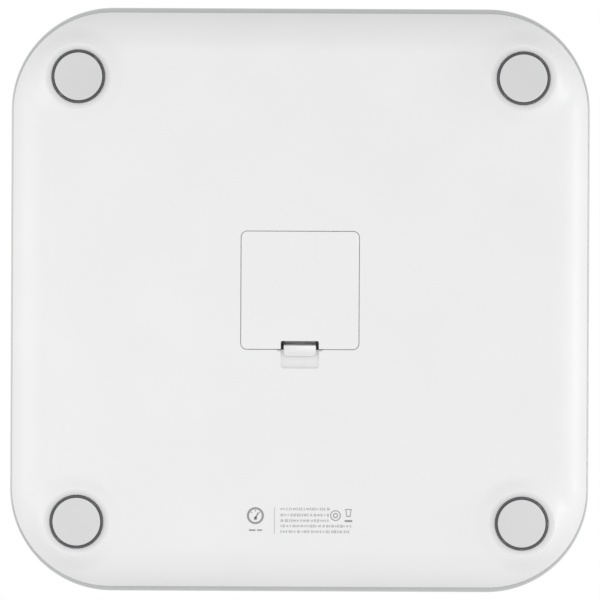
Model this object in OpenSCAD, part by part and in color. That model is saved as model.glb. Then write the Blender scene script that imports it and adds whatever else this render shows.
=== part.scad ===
/* [Platform] */
// Width of the glass platform, left to right
plate_w = 300; // [298:0.5:306]
// Depth of the glass platform, front to back
plate_d = 302.4; // [298:0.2:306]
// Corner radius of the glass platform
plate_r = 52.8; // [52:0.2:56]
// Thickness of the glass
glass_t = 5; // [4.5:0.1:5.2]
// Rounding of the glass edges
glass_edge = 1.2; // [0.5:0.1:2]
// Height from the ground to the top of the glass
total_h = 28.8; // [28.6:0.1:29.2]

/* [Shell] */
// Width of the bottom shell
shell_w = 298; // [296:0.5:298]
// Depth of the bottom shell
shell_d = 297.4; // [296:0.2:298]
// Corner radius of the bottom shell
shell_r = 51; // [50:0.2:52]
// Wall thickness of the shell
shell_t = 2.2; // [2:0.1:2.4]
// How far the curved flank runs in from the shell's edge
flank_run = 20; // [18:0.5:21]
// How far the curved flank climbs
flank_rise = 14; // [13:0.2:14.4]

/* [Feet] */
// Distance between foot centres, both ways
foot_pitch = 230.6; // [228:0.2:232]
// Radius of the soft foot pad
pad_r = 12.35; // [11.8:0.05:12.4]
// Thickness of the soft foot pad
pad_t = 1.2; // [0.8:0.1:1.5]
// Outer radius of the rubber ring round the pad
ring_r = 13.65; // [13.6:0.05:13.7]
// Radius of the hole that the foot moves in
foot_hole_r = 13.95; // [13.9:0.05:14.2]
// Radius of the boss's lip round the foot
boss_r = 16.4; // [16.2:0.1:16.8]
// Height of the boss's lip above the ground
boss_lip_z = 2.4; // [2:0.1:2.6]
// How far the boss stands out of the shell's floor
boss_h = 3.2; // [3:0.1:3.3]

/* [Battery door] */
// Side of the square battery door
door_side = 60.9; // [60.5:0.1:61.2]
// Corner radius of the door
door_r = 3; // [2:0.2:4]
// Thickness of the door
door_t = 2; // [1.8:0.1:2]
// How far the door's centre sits behind the middle of the scale
door_y = 5; // [0:0.5:8]
// Gap round the door
door_gap = 0.3; // [0.25:0.05:0.4]
// Width of the notch for the latch
notch_w = 19.7; // [19.5:0.1:20]
// Depth of the notch, from the door's front edge
notch_d = 4.2; // [4.1:0.1:4.3]

/* [Latch] */
// Width of the latch
latch_w = 16.6; // [15:0.1:17]
// Gap between the notch and the latch's tongue
latch_gap = 2.33; // [2.2:0.01:2.4]
// Length of the latch's tongue
tongue_l = 5.5; // [5:0.1:6]
// Thickness of the latch's tongue
tongue_t = 1.6; // [1.4:0.1:1.8]
// Length of the finger recess, from the opening's edge
recess_l = 9.6; // [8:0.1:10]
// Depth of the finger recess
recess_h = 2.4; // [2.2:0.1:2.6]

/* [Batteries] */
// Diameter of an AA cell
cell_d = 14.2; // [14:0.1:14.2]
// Length of an AA cell with its positive nub
cell_l = 50.5; // [50:0.1:50.5]
// Distance between the axes of neighbouring cells
cell_pitch = 14.6; // [14.5:0.1:14.6]

/* [Display] */
// How far the display's centre sits behind the middle of the scale
display_y = 95; // [93:1:97]
// Width of the display module
display_w = 64; // [60:1:66]
// Depth of the display module
display_d = 22; // [20:1:24]

/* [Hidden] */
$fn = 96;
cut = 1;
CORNERS = ["front_left", "front_right", "back_left", "back_right"];
SIDE_X = [-1, 1, -1, 1];
SIDE_Y = [-1, -1, 1, 1];

// Levels above the ground
floor_z = boss_lip_z + boss_h;
floor_top = floor_z + shell_t;
glass_z = total_h - glass_t;
tape_t = 0.8;
deck_top = glass_z - tape_t;
deck_t = 2;
deck_z = deck_top - deck_t;

// Flank of the shell: one arc that leaves the floor level and ends near upright
flank_arc = (flank_run * flank_run + flank_rise * flank_rise) / (2 * flank_rise);
frame_inset = 0.5;

// Feet, from the ground up
ring_z = 0.9;
lip_t = 2.2;
flange_z = boss_lip_z + lip_t + 0.2;
flange_t = 1.6;
flange_r = 15;
boss_bore_r = 15.5;
boss_top = floor_z + 6.4;
boss_top_r = boss_r + 3.4;
plunger_r = 6;
plunger_top = 12;
tip_r = 3;
tip_top = 13.4;

// Load cells under the frame
cell_plate = 32;
cell_plate_t = 1.5;
cell_plate_z = 14;
cell_window = 23;
tongue_w = 12;
gauge_l = 6;
gauge_w = 7;
gauge_t = 0.8;
gauge_x = -cell_window / 2 + 0.5;
holder_side = 35;
holder_hole = 27;
holder_z = cell_plate_z + cell_plate_t;
holder_lug = [-20.5, 10];
holder_lug_r = 3.2;
holder_lug_t = 2;
clip_y = [15, 16.2, 17.5];
clip_z = [12.8, 13.8];

// Battery door, its opening and its hinge line
door_front = door_y - door_side / 2;
door_back = door_y + door_side / 2;
opening = door_side + 2 * door_gap;
tab_x = cell_pitch;
tab_w = 4;
tab_z = [floor_top + 0.2, floor_top + 1.4];
tab_root = 1.5;
tab_reach = 2.8;
door_top = floor_z + door_t;
tab_room_z = 10.8;

// Latch: a leg that hangs from a pivot at the top of the door's own leg
notch_back = door_front + notch_d;
leg_t = 1;
pivot = [notch_back - 1.35, 17];
barrel_r = 1;
socket_r = barrel_r + 0.05;
bridge = [notch_back - 2.95, 16.2, 18.2];
slot_half = 0.85;
tongue_back = notch_back - latch_gap;
nose = [door_front + 0.35, 11, 12.4];

// Battery box
box_wall = 1.2;
box_end = 1;
box_roof = 0.9;
cavity_x = 2 * cell_pitch + 0.3;
cavity_front = notch_back + 2.35;
cavity_back = door_back - 1.15;
cavity_top = 22.7;
box_flange = [32, 1.5];
box_flange_front = door_front - 3;
box_flange_back = door_back + 3.5;
latch_room = 12.4;
ear_x = 35.5;
ear_y = [-14, 29];
ear_z = 14;
ear_t = 2;
ear_r = 3.5;
contact_t = 0.3;
contact_z = [11, 19.6];
contact_half = 5;
terminal_z = 17;
cell_axis_z = door_top + 0.8 + cell_d / 2;
nub_r = 2.75;
nub_l = 1.5;

// Contact springs
wire_r = 0.25;
coil_base_r = 3.4;
coil_tip_r = 2;
coil_turns = 2.5;
coil_sides = 6;
coil_rings = 36;
coil_l = cavity_back - cavity_front - 2 * contact_t - cell_l;

// Electronics
pcb = [90, 50, 1.6];
pcb_y = 90;
pcb_z = 17.2;
pcb_screw = [40, 20];
module_top = deck_top + 0.2;
connector = [6, 8, 4.6];
connector_x = 38;
connector_y = [84, 96];
battery_plug_y = 68;
wire_w = 0.9;
wire_z = 15.6;
wire_pitch = 1.5;

// Shared shapes

module rounded(w, d, r) {
  square([w, d - 2 * r], center = true);
  square([w - 2 * r, d], center = true);
  for (x = [-1, 1], y = [-1, 1])
    translate([x * (w / 2 - r), y * (d / 2 - r)]) circle(r);
}

module box_between(low, high) {
  translate(low) cube(high - low);
}

// What an arc leaves of a square corner that points to +X, -Y
module corner_cut(run, arc) {
  difference() {
    translate([-run, -cut]) square([run + cut, arc + cut]);
    translate([-run, arc]) circle(arc);
  }
}

module pan_profile(half, low, high, run, arc, top_edge = 0) {
  difference() {
    translate([0, low]) square([half, high - low]);
    translate([half, low]) corner_cut(run, arc);
    if (top_edge > 0)
      translate([half, high]) mirror([0, 1]) corner_cut(top_edge, top_edge);
  }
}

// A rounded rectangle whose lower edge follows an arc all the way round
module pan(w, d, r, low, high, run, arc, top_edge = 0) {
  for (m = [0, 1]) {
    mirror([m, 0, 0]) rotate([90, 0, 0]) linear_extrude(d - 2 * r, center = true)
      pan_profile(w / 2, low, high, run, arc, top_edge);
    mirror([0, m, 0]) rotate([90, 0, 90]) linear_extrude(w - 2 * r, center = true)
      pan_profile(d / 2, low, high, run, arc, top_edge);
  }
  for (x = [0, 1], y = [0, 1])
    mirror([x, 0, 0]) mirror([0, y, 0]) translate([w / 2 - r, d / 2 - r, 0])
      rotate_extrude(angle = 90) pan_profile(r, low, high, run, arc, top_edge);
}

// A flat strip along a route, round at its ends and bends
module stroke(points, w) {
  for (p = points) translate(p) circle(w / 2);
  for (i = [0:len(points) - 2]) {
    run = points[i + 1] - points[i];
    translate(points[i]) rotate(atan2(run.y, run.x))
      translate([0, -w / 2]) square([norm(run), w]);
  }
}

// A self-tapping screw with its head below and its thread pointing up
module screw(head_r, head_t, shank_r, shank_l) {
  slot = head_r * 1.1;
  difference() {
    cylinder(h = head_t, r = head_r);
    for (a = [0, 90])
      rotate(a) translate([-slot / 2, -0.3, -cut]) cube([slot, 0.6, cut + head_t * 0.6]);
  }
  translate([0, 0, head_t]) cylinder(h = shank_l, r = shank_r);
}

module side_extrude(w) {
  rotate([90, 0, 90]) linear_extrude(w, center = true) children();
}

// Places its children at one foot, with +X pointing out to the corner
module at_foot(i) {
  translate([SIDE_X[i], SIDE_Y[i], 0] * foot_pitch / 2)
    rotate(atan2(SIDE_Y[i], SIDE_X[i])) children();
}

module at_lugs() {
  for (s = [-1, 1]) translate([holder_lug.x, s * holder_lug.y, 0]) children();
}

module at_ears() {
  for (s = [-1, 1], y = ear_y) translate([s * ear_x, y, 0]) children();
}

module at_pcb_screws() {
  for (x = [-1, 1], y = [-1, 1])
    translate([x * pcb_screw.x, pcb_y + y * pcb_screw.y, 0]) children();
}

// Places its children on the straight stretches of the rim, with +X pointing out
module at_snaps() {
  for (s = [-1, 0, 1], a = [0:90:270])
    rotate(a) translate([(a % 180 == 0 ? shell_w : shell_d) / 2, s * 60, 0]) children();
}

// Platform

module glass_platform() {
  color([0.95, 0.96, 0.96])
    pan(plate_w, plate_d, plate_r, glass_z, total_h, glass_edge, glass_edge, glass_edge);
}

module adhesive_tape() {
  inset = 9;
  band = 12;
  color([0.35, 0.35, 0.37]) translate([0, 0, deck_top]) linear_extrude(tape_t) {
    difference() {
      rounded(shell_w - inset, shell_d - inset, shell_r - inset / 2);
      rounded(shell_w - inset - 2 * band, shell_d - inset - 2 * band, shell_r - inset / 2 - band);
    }
    for (y = [-60, 60]) translate([0, y]) square([shell_w - 3 * band, band], center = true);
  }
}

module frame_ribs() {
  rib_t = 1.6;
  spacing = 36;
  reach = 4;
  linear_extrude(deck_z - rib_z()) difference() {
    intersection() {
      for (k = [-reach:reach]) {
        translate([k * spacing, 0]) square([rib_t, plate_d], center = true);
        translate([0, k * spacing]) square([plate_w, rib_t], center = true);
      }
      rounded(shell_w - 9, shell_d - 9, shell_r - 4.5);
    }
    translate([0, 6]) square([84, 76], center = true);
    translate([0, pcb_y]) square([pcb.x + 12, pcb.y + 12], center = true);
    for (i = [0:3])
      translate([SIDE_X[i], SIDE_Y[i]] * foot_pitch / 2) circle(28);
  }
}

function rib_z() = wire_z + 1.1;

module top_frame() {
  skirt_t = 1.4;
  skirt_inset = 3.6;
  skirt_z = 18;
  nose_z = [18.8, 19.4];
  window_gap = 0.8;
  color([0.9, 0.9, 0.9]) difference() {
    union() {
      translate([0, 0, deck_z]) linear_extrude(deck_t)
        rounded(shell_w - 2 * frame_inset, shell_d - 2 * frame_inset, shell_r - frame_inset);
      translate([0, 0, rib_z()]) frame_ribs();
      translate([0, 0, skirt_z]) linear_extrude(deck_z - skirt_z) difference() {
        rounded(shell_w - 2 * skirt_inset, shell_d - 2 * skirt_inset, shell_r - skirt_inset);
        rounded(shell_w - 2 * (skirt_inset + skirt_t), shell_d - 2 * (skirt_inset + skirt_t),
                shell_r - skirt_inset - skirt_t);
      }
      at_snaps() box_between([-skirt_inset - skirt_t / 2, -6, nose_z[0]], [-2.9, 6, nose_z[1]]);
      at_pcb_screws() translate([0, 0, pcb_z + pcb.z])
        cylinder(h = deck_z - pcb_z - pcb.z, r = 3.2);
    }
    box_between([-cavity_x - box_wall - window_gap, cavity_front - box_end - window_gap, 0],
                [cavity_x + box_wall + window_gap, cavity_back + box_end + window_gap, total_h]);
    translate([0, display_y, total_h / 2])
      cube([display_w + 2 * window_gap, display_d + 2 * window_gap, total_h], center = true);
    at_pcb_screws() cylinder(h = deck_top - 0.3, r = 1.1);
    for (i = [0:3]) at_foot(i) at_lugs() cylinder(h = deck_top - 0.3, r = 1.25);
  }
}

// Bottom shell

module recess_outline(grow) {
  r = 1.5;
  front = -door_gap + door_front;
  w = notch_w + 2 * grow;
  difference() {
    translate([0, front - recess_l / 2]) rounded(w, recess_l + 2 * grow, r + grow);
    translate([0, front + w / 2]) square(w, center = true);
  }
  translate([-w / 2, front - recess_l / 2]) square([w, recess_l / 2]);
}

module bottom_shell() {
  recess_top = floor_z + recess_h;
  color([0.93, 0.93, 0.93]) difference() {
    union() {
      difference() {
        union() {
          pan(shell_w, shell_d, shell_r, floor_z, deck_z, flank_run, flank_arc);
          for (i = [0:3]) at_foot(i) translate([0, 0, boss_lip_z])
            cylinder(h = boss_top - boss_lip_z, r1 = boss_r, r2 = boss_top_r);
        }
        pan(shell_w - 2 * shell_t, shell_d - 2 * shell_t, shell_r - shell_t,
            floor_top, deck_z + cut, flank_run - shell_t, flank_arc - shell_t);
      }
      translate([0, 0, floor_z + 0.5])
        linear_extrude(recess_top + shell_t - 0.2 - floor_z - 0.5) recess_outline(2);
      at_ears() translate([0, 0, floor_z + cut])
        cylinder(h = ear_z - floor_z - cut, r = 3);
      at_snaps() box_between([-3.2, -7, 19.6], [-shell_t / 2, 7, 20.6]);
    }
    for (i = [0:3]) at_foot(i) {
      cylinder(h = total_h, r = foot_hole_r);
      translate([0, 0, boss_lip_z + lip_t]) cylinder(h = total_h, r = boss_bore_r);
    }
    translate([0, door_y, 0]) linear_extrude(floor_top + cut)
      rounded(opening, opening, door_r + door_gap);
    linear_extrude(recess_top) recess_outline(0);
    at_ears() translate([0, 0, floor_top]) cylinder(h = total_h, r = 1.1);
  }
}

// Battery compartment

module tab_room() {
  for (s = [-1, 1])
    box_between([s * tab_x - tab_w / 2 - 0.6, cavity_back - cut, 0],
                [s * tab_x + tab_w / 2 + 0.6, box_flange_back + cut, tab_room_z]);
}

module battery_box() {
  wall_x = cavity_x + box_wall;
  rib = [1, 19.8];
  color([0.85, 0.85, 0.85]) difference() {
    union() {
      box_between([-wall_x, cavity_front - box_end, floor_top],
                  [wall_x, cavity_back + box_end, cavity_top + box_roof]);
      box_between([-box_flange.x, box_flange_front, floor_top],
                  [box_flange.x, box_flange_back, floor_top + box_flange.y]);
      at_ears() translate([0, 0, ear_z]) cylinder(h = ear_t, r = ear_r);
      for (s = [-1, 1], y = ear_y)
        translate([s * (ear_x + wall_x) / 2, y, ear_z + ear_t / 2])
          cube([ear_x - wall_x, 2 * ear_r, ear_t], center = true);
    }
    difference() {
      box_between([-cavity_x, cavity_front, 0], [cavity_x, cavity_back, cavity_top]);
      for (k = [-1:1])
        box_between([k * cell_pitch - rib[0] / 2, cavity_front - cut, rib[1]],
                    [k * cell_pitch + rib[0] / 2, cavity_back + cut, cavity_top + cut]);
    }
    box_between([-latch_room, box_flange_front - cut, 0],
                [latch_room, cavity_front - box_end, floor_top + box_flange.y + cut]);
    tab_room();
    at_ears() cylinder(h = total_h, r = 1.4);
    for (s = [-1, 1])
      box_between([s * 1.5 * cell_pitch - 2, cavity_back - cut, terminal_z - 0.5],
                  [s * 1.5 * cell_pitch + 2, cavity_back + box_end + cut, terminal_z + 1.3]);
  }
}

module box_screws() {
  color("silver") at_ears() translate([0, 0, ear_z + ear_t + 1.5]) mirror([0, 0, 1])
    screw(2.6, 1.5, 1.05, 7);
}

module door_tab() {
  side_extrude(tab_w) {
    translate([door_back - tab_root, door_top - 0.5])
      square([tab_root, tab_z[1] - door_top + 0.5]);
    translate([door_back - tab_root, tab_z[0]])
      square([tab_root + tab_reach, tab_z[1] - tab_z[0]]);
  }
}

module battery_door() {
  leg_front = notch_back;
  color([0.94, 0.94, 0.94]) {
    difference() {
      translate([0, door_y, floor_z]) linear_extrude(door_t) rounded(door_side, door_side, door_r);
      box_between([-notch_w / 2, door_front - cut, 0], [notch_w / 2, notch_back, total_h]);
    }
    side_extrude(latch_w) difference() {
      union() {
        translate([leg_front, floor_z + 0.5]) square([leg_t, bridge[2] - floor_z - 0.5]);
        translate([bridge[0], bridge[1]])
          square([leg_front + leg_t - bridge[0], bridge[2] - bridge[1]]);
      }
      translate(pivot) circle(socket_r);
      translate([pivot.x - slot_half, bridge[1] - cut])
        square([2 * slot_half, pivot.y - bridge[1] + cut]);
    }
    for (s = [-1, 1]) translate([s * tab_x, 0, 0]) door_tab();
  }
}

module door_latch() {
  leg_foot = floor_z + tongue_t;
  edge = 1.2;
  color([0.96, 0.96, 0.96]) {
    side_extrude(latch_w) {
      translate(pivot) circle(barrel_r);
      polygon([
        [pivot.x - leg_t / 2, pivot.y],
        [pivot.x + leg_t / 2, pivot.y],
        [tongue_back, leg_foot],
        [tongue_back, floor_z + 0.5],
        [tongue_back - 1.2, floor_z + 0.5],
        [tongue_back - 1.2, leg_foot]
      ]);
      polygon([
        [tongue_back - 0.4, nose[1]],
        [nose[0], nose[1] + 0.35],
        [nose[0], nose[2]],
        [tongue_back - 0.2, nose[2]]
      ]);
    }
    translate([0, 0, floor_z]) linear_extrude(tongue_t) {
      translate([0, tongue_back - tongue_l / 2]) rounded(latch_w, tongue_l, edge);
      translate([-latch_w / 2, tongue_back - tongue_l / 2]) square([latch_w, tongue_l / 2]);
    }
  }
}

module door_pad() {
  color([0.3, 0.3, 0.32]) translate([0, door_y + 3, door_top])
    linear_extrude(0.7) rounded(52, 34, 2);
}

// Batteries and their contacts. Cells 1 and 3 point to the back, cells 2 and 4 to the front.

module at_cell(i) {
  back = i % 2 == 1;
  translate([(i - 2.5) * cell_pitch, (back ? cavity_back - contact_t : cavity_front + contact_t),
             cell_axis_z])
    rotate([back ? 90 : -90, 0, 0]) children();
}

module battery(i) {
  color([0.25, 0.45, 0.35]) at_cell(i) {
    cylinder(h = nub_l + cut / 2, r = nub_r);
    translate([0, 0, nub_l]) cylinder(h = cell_l - nub_l, r = cell_d / 2);
  }
}

module contact_plate(low_x, high_x, y) {
  box_between([low_x, y, contact_z[0]], [high_x, y + contact_t, contact_z[1]]);
}

module contact_plates() {
  pair = cell_pitch / 2 + contact_half;
  color("silver") {
    for (s = [-1, 1])
      contact_plate(s * cell_pitch - pair, s * cell_pitch + pair, cavity_front);
    contact_plate(-pair, pair, cavity_back - contact_t);
    for (s = [-1, 1]) {
      x = s * 1.5 * cell_pitch;
      contact_plate(x - contact_half, x + contact_half, cavity_back - contact_t);
      box_between([x - 1.5, cavity_back - contact_t, terminal_z],
                  [x + 1.5, cavity_back + box_end + 1.5, terminal_z + 0.6]);
    }
  }
}

function coil_centre(t) = [
  coil_base_r + (coil_tip_r - coil_base_r) * t,
  wire_r + (coil_l - 2 * wire_r) * t
];

function coil_points() = [
  for (i = [0:coil_rings - 1], k = [0:coil_sides - 1])
    let (
      t = i / (coil_rings - 1),
      a = 360 * coil_turns * t,
      b = 360 * k / coil_sides,
      c = coil_centre(t),
      r = c.x + wire_r * cos(b)
    )
    [r * cos(a), r * sin(a), c.y + wire_r * sin(b)]
];

function coil_faces() = concat(
  [[for (k = [0:coil_sides - 1]) k]],
  [
    for (i = [0:coil_rings - 2], k = [0:coil_sides - 1])
      let (n = (k + 1) % coil_sides, a = i * coil_sides, b = a + coil_sides)
      [a + k, b + k, b + n, a + n]
  ],
  [[for (k = [coil_sides - 1:-1:0]) (coil_rings - 1) * coil_sides + k]]
);

module contact_springs() {
  color("silver") for (i = [1:4])
    at_cell(i) translate([0, 0, cell_l + coil_l]) mirror([0, 0, 1])
      polyhedron(coil_points(), coil_faces());
}

// Electronics

module main_pcb() {
  color([0.1, 0.35, 0.2]) difference() {
    translate([0, pcb_y, pcb_z]) linear_extrude(pcb.z) rounded(pcb.x, pcb.y, 2);
    at_pcb_screws() cylinder(h = total_h, r = 1.3);
  }
}

module pcb_chips() {
  // Each row: centre x, centre y, width, depth, height
  chips = [
    [-12, 90, 10, 10, 1.4],
    [8, 92, 7, 7, 1],
    [20, 82, 5, 4, 1.2],
    [-26, 80, 4, 6, 1.6],
    [24, 100, 11, 4.5, 2.2]
  ];
  color([0.12, 0.12, 0.13]) {
    for (c = chips)
      translate([c[0] - c[2] / 2, c[1] - c[3] / 2, pcb_z - c[4]]) cube([c[2], c[3], c[4]]);
    for (x = [-20:8:4]) translate([x, 104, pcb_z - 1]) cube([2, 1.2, 1]);
  }
}

module pcb_connectors() {
  color([0.92, 0.9, 0.84]) {
    for (s = [-1, 1], y = connector_y)
      translate([s * connector_x, y, pcb_z - connector.z / 2]) cube(connector, center = true);
    translate([0, battery_plug_y, pcb_z - connector.z / 2])
      cube([connector.y, connector.x, connector.z], center = true);
  }
}

module pcb_screws() {
  color("silver") at_pcb_screws() translate([0, 0, pcb_z - 1.3]) screw(2.4, 1.3, 1.0, 4.8);
}

module digit_wells() {
  bar = [4.4, 1.2];
  for (y = [-5, 0, 5]) translate([0, y]) square(bar, center = true);
  for (x = [-1, 1], y = [-1, 1]) translate([x * 3, y * 2.5]) square([bar.y, 3.4], center = true);
}

module display_module() {
  well = 1.5;
  digit_pitch = 12;
  color([0.15, 0.15, 0.16]) difference() {
    translate([0, display_y, pcb_z + pcb.z]) linear_extrude(module_top - pcb_z - pcb.z)
      square([display_w, display_d], center = true);
    for (k = [-1.5:1:1.5])
      translate([k * digit_pitch, display_y, module_top - well])
        linear_extrude(well + cut) digit_wells();
  }
}

module display_gasket() {
  band = 2.5;
  color([0.2, 0.2, 0.2]) translate([0, display_y, module_top])
    linear_extrude(glass_z - module_top) difference() {
      square([display_w, display_d], center = true);
      square([display_w - 2 * band, display_d - 2 * band], center = true);
    }
}

// Load cells

module load_cell(i) {
  color([0.65, 0.66, 0.68]) at_foot(i) translate([0, 0, cell_plate_z])
    linear_extrude(cell_plate_t) {
      difference() {
        rounded(cell_plate, cell_plate, 3);
        square(cell_window, center = true);
      }
      translate([-cell_window / 2 - 0.5, -tongue_w / 2]) square([cell_window * 0.8, tongue_w]);
    }
}

module strain_gauges() {
  color([0.95, 0.93, 0.85]) for (i = [0:3])
    at_foot(i) box_between([gauge_x, -gauge_w / 2, holder_z],
                           [gauge_x + gauge_l, gauge_w / 2, holder_z + gauge_t]);
}

module cell_holder(i) {
  color([0.88, 0.88, 0.88]) at_foot(i) difference() {
    union() {
      translate([0, 0, holder_z]) linear_extrude(deck_z - holder_z) difference() {
        rounded(holder_side, holder_side, 4);
        rounded(holder_hole, holder_hole, 2);
      }
      translate([0, 0, deck_z - holder_lug_t]) linear_extrude(holder_lug_t) {
        at_lugs() circle(holder_lug_r);
        for (s = [-1, 1])
          translate([(holder_lug.x - holder_side / 2) / 2 + 0.5, s * holder_lug.y])
            square([-holder_lug.x - holder_side / 2 + 1, 2 * holder_lug_r], center = true);
      }
      for (s = [0, 1]) mirror([0, s, 0]) {
        box_between([-4, clip_y[1], clip_z[0]], [4, clip_y[2], holder_z + cut]);
        box_between([-4, clip_y[0], clip_z[0]], [4, clip_y[2], clip_z[1]]);
      }
    }
    box_between([-holder_side, -4, holder_z - cut], [-holder_hole / 2 + 1, 4, holder_z + 2]);
    at_lugs() cylinder(h = total_h, r = 1.4);
  }
}

module holder_screws() {
  color("silver") for (i = [0:3])
    at_foot(i) at_lugs() translate([0, 0, deck_z - holder_lug_t - 1.4])
      screw(2.5, 1.4, 1.15, 3.5);
}

// Routes of the wires, from the gauge to the circuit board
function foot_point(i, p) =
  let (a = atan2(SIDE_Y[i], SIDE_X[i]))
  [
    SIDE_X[i] * foot_pitch / 2 + p.x * cos(a) - p.y * sin(a),
    SIDE_Y[i] * foot_pitch / 2 + p.x * sin(a) + p.y * cos(a)
  ];

function cell_route(i, k) =
  let (s = SIDE_X[i], o = k * wire_pitch, front = SIDE_Y[i] < 0, y = connector_y[front ? 0 : 1] + o)
  [
    foot_point(i, [gauge_x - wire_w, s * o]),
    foot_point(i, [-26, s * o]),
    front ? [s * (58 + o), -46] : [s * 84, y],
    front ? [s * (58 + o), y] : [s * 60, y],
    [s * (connector_x + connector.x / 2 + wire_w / 2), y]
  ];

module cell_wires(i) {
  color([0.7, 0.15, 0.12]) translate([0, 0, wire_z])
    for (k = [-1:1]) linear_extrude(wire_w) stroke(cell_route(i, k), wire_w);
}

module battery_wires() {
  w = 1.3;
  start = cavity_back + box_end + 1.5 + w / 2;
  color([0.75, 0.1, 0.1]) for (s = [-1, 1])
    translate([0, 0, terminal_z - w])
      linear_extrude(w) stroke([
        [s * 1.5 * cell_pitch, start],
        [s * 1.5 * cell_pitch, start + 8],
        [s * 1.6, battery_plug_y - 9],
        [s * 1.6, battery_plug_y - 3 - w / 2]
      ], w);
}

// Feet

module foot_holder(i) {
  color([0.75, 0.75, 0.75]) at_foot(i) {
    translate([0, 0, pad_t]) cylinder(h = flange_z - pad_t, r = pad_r);
    translate([0, 0, flange_z]) cylinder(h = flange_t, r = flange_r);
    translate([0, 0, flange_z]) cylinder(h = plunger_top - flange_z, r = plunger_r);
    translate([0, 0, flange_z]) cylinder(h = tip_top - flange_z, r = tip_r);
  }
}

module foot_ring(i) {
  color([0.35, 0.35, 0.36]) at_foot(i) translate([0, 0, ring_z]) difference() {
    cylinder(h = flange_z - ring_z, r = ring_r);
    translate([0, 0, -cut]) cylinder(h = total_h, r = pad_r + 0.1);
  }
}

module foot_pad(i) {
  edge = 0.5;
  color([0.82, 0.82, 0.82]) at_foot(i) rotate_extrude()
    pan_profile(pad_r, 0, pad_t, edge, edge);
}

glass_platform();
adhesive_tape();
top_frame();
bottom_shell();
battery_box();
box_screws();
battery_door();
door_latch();
door_pad();
contact_plates();
contact_springs();
main_pcb();
pcb_chips();
pcb_connectors();
pcb_screws();
display_module();
display_gasket();
strain_gauges();
holder_screws();
battery_wires();
for (i = [1:4]) {
  battery(i);
}
for (i = [0:3]) {
  load_cell(i);
  cell_holder(i);
  cell_wires(i);
  foot_holder(i);
  foot_ring(i);
  foot_pad(i);
}
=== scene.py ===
import math
import random

import bpy
from mathutils import Matrix, Vector
from mathutils.geometry import delaunay_2d_cdt


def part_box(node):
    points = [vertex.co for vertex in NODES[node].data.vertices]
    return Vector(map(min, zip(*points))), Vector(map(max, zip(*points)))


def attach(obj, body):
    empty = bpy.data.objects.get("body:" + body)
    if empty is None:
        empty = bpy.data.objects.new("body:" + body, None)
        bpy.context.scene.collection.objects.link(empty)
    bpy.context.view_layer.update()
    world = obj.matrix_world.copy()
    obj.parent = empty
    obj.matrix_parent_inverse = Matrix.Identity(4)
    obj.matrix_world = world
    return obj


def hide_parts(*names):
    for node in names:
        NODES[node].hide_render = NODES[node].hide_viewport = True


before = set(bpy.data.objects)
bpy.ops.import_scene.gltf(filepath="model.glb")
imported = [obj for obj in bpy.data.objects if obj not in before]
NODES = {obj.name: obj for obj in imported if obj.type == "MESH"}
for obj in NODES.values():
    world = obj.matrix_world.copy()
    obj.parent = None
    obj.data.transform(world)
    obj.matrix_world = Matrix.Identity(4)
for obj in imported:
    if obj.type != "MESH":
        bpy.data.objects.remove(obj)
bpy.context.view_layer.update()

MM = 0.001
CORNERS = ("front_left", "front_right", "back_left", "back_right")
rng = random.Random(7)


def mm_box(node):
    low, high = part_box(node)
    return low / MM, high / MM


# Shell sizes that part.scad drives, in millimetres
SHELL_LOW, SHELL_HIGH = mm_box("bottom_shell")
GLASS_LOW, GLASS_HIGH = mm_box("glass_platform")
DOOR_LOW, DOOR_HIGH = mm_box("battery_door")
LATCH_LOW, LATCH_HIGH = mm_box("door_latch")
HALF_W, HALF_D = SHELL_HIGH.x, SHELL_HIGH.y
SHELL_R = 51.0
GLASS_R = 52.8
GLASS_EDGE = 1.2
FLOOR_Z = DOOR_LOW.z
WALL = 2.2
FLOOR_TOP = FLOOR_Z + WALL
FLANK_RUN = 20.0
FLANK_RISE = 14.0
FLANK_ARC = (FLANK_RUN ** 2 + FLANK_RISE ** 2) / (2 * FLANK_RISE)
RIM_Z = SHELL_HIGH.z
LIP_Z = SHELL_LOW.z

# Foot bosses
FEET = [sum(mm_box("foot_pad_" + c), Vector()) / 2 for c in CORNERS]
HOLE_R = 13.95
BORE_R = 15.5
BORE_Z = 4.6
CREST_R = 17.0
CREST_DIP = 0.5
CREST_BEND = 1.1
POLAR_R = 25.2
BOSS_FOOT_R = 26.5
RIM_FADE = 4.0
BOSS_TOP_R = 19.8
BOSS_TOP_Z = 12.0
BOSS_SHOULDER = 0.08
BOSS_STRAIGHT = 0.42

# Door opening, door and finger recess
DOOR_SIDE = DOOR_HIGH.x - DOOR_LOW.x
DOOR_R = 3.0
DOOR_T = 2.0
DOOR_GAP = 0.3
DOOR_Y = DOOR_LOW.y + DOOR_SIDE / 2
OPEN_HALF = DOOR_SIDE / 2 + DOOR_GAP
OPEN_R = DOOR_R + DOOR_GAP
OPEN_FRONT = DOOR_Y - OPEN_HALF
EDGE = 0.45
NOTCH_W = 19.7
NOTCH_D = 4.2
RECESS_L = 9.6
RECESS_Z = 8.0
RECESS_R = 1.5
RECESS_SCOOP = 1.3
RECESS_BACK_GROW = 2.0
RECESS_BACK_Z = 10.0
EARS = [(s * 35.5, y) for s in (-1, 1) for y in (-14.0, 29.0)]
EAR_BORE_R = 1.1
EAR_R = 3.0
EAR_Z = 14.0
STEP = 0.05


# ---------------------------------------------------------------- mesh tools


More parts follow.
